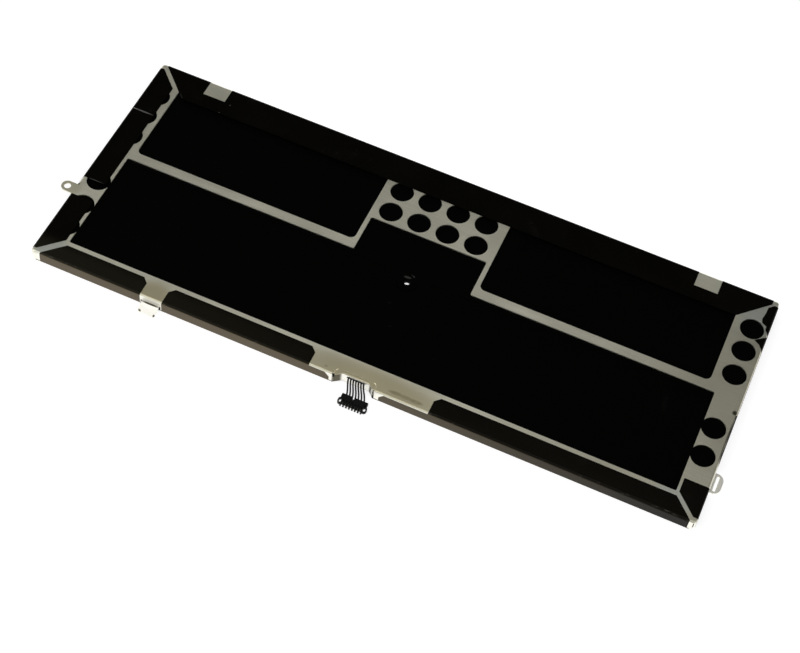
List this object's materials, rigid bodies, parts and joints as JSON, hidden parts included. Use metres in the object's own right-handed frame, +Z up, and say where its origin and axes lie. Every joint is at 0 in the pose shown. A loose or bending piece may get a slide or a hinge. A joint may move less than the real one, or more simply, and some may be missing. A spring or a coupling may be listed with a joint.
{
  "type": "laptop battery",
  "caption": "Flat internal laptop battery: a stamped steel tray with windows over pouch cells, wrapped in black film, with a screw hole, fixing ears and a short ribbon of leads to a plug.",
  "frame": {"origin": "on the axis of the screw hole, at the underside", "axes": "+X along the tray, -Y towards the plug, +Z up out of the steel face"},
  "size_m": [0.2536, 0.1069, 0.0045],
  "materials": {
    "tray_steel": "satin",
    "wrap_film": "satin",
    "cell_pouch": "matte",
    "carrier_plastic": "satin",
    "cover_tape": "matte",
    "flex_strip": "satin",
    "tab_nickel": "satin",
    "pad_foam": "matte",
    "board_laminate": "satin",
    "barrier_paper": "matte",
    "chip_epoxy": "matte",
    "fuse_ceramic": "matte",
    "plug_plastic": "satin",
    "contact_metal": "bright",
    "lead_sleeve": "satin"
  },
  "bodies": {
    "root": {"board_insulator": "barrier_paper", "board_pad": "pad_foam", "centre_carrier": "carrier_plastic", "charge_switch": "chip_epoxy", "chip_fuse": "fuse_ceramic", "controller_chip": "chip_epoxy", "cover_tape": "cover_tape", "discharge_switch": "chip_epoxy", "filter_capacitor_1": "fuse_ceramic", "filter_capacitor_2": "fuse_ceramic", "filter_capacitor_3": "fuse_ceramic", "filter_capacitor_4": "fuse_ceramic", "lead_1": "lead_sleeve", "lead_2": "lead_sleeve", "lead_3": "lead_sleeve", "lead_4": "lead_sleeve", "lead_5": "lead_sleeve", "lead_6": "lead_sleeve", "lead_7": "lead_sleeve", "link_flex": "flex_strip", "lower_left_cell": "cell_pouch", "lower_left_negative_tab": "tab_nickel", "lower_left_positive_tab": "tab_nickel", "lower_right_cell": "cell_pouch", "lower_right_negative_tab": "tab_nickel", "lower_right_positive_tab": "tab_nickel", "plug_contact_1": "contact_metal", "plug_contact_2": "contact_metal", "plug_contact_3": "contact_metal", "plug_contact_4": "contact_metal", "plug_contact_5": "contact_metal", "plug_contact_6": "contact_metal", "plug_contact_7": "contact_metal", "plug_housing": "plug_plastic", "protection_board": "board_laminate", "sense_resistor": "fuse_ceramic", "tray": "tray_steel", "upper_left_cell": "cell_pouch", "upper_left_negative_tab": "tab_nickel", "upper_left_positive_tab": "tab_nickel", "upper_right_cell": "cell_pouch", "upper_right_negative_tab": "tab_nickel", "upper_right_positive_tab": "tab_nickel", "wrap_film": "wrap_film"}
  },
  "joints": []
}
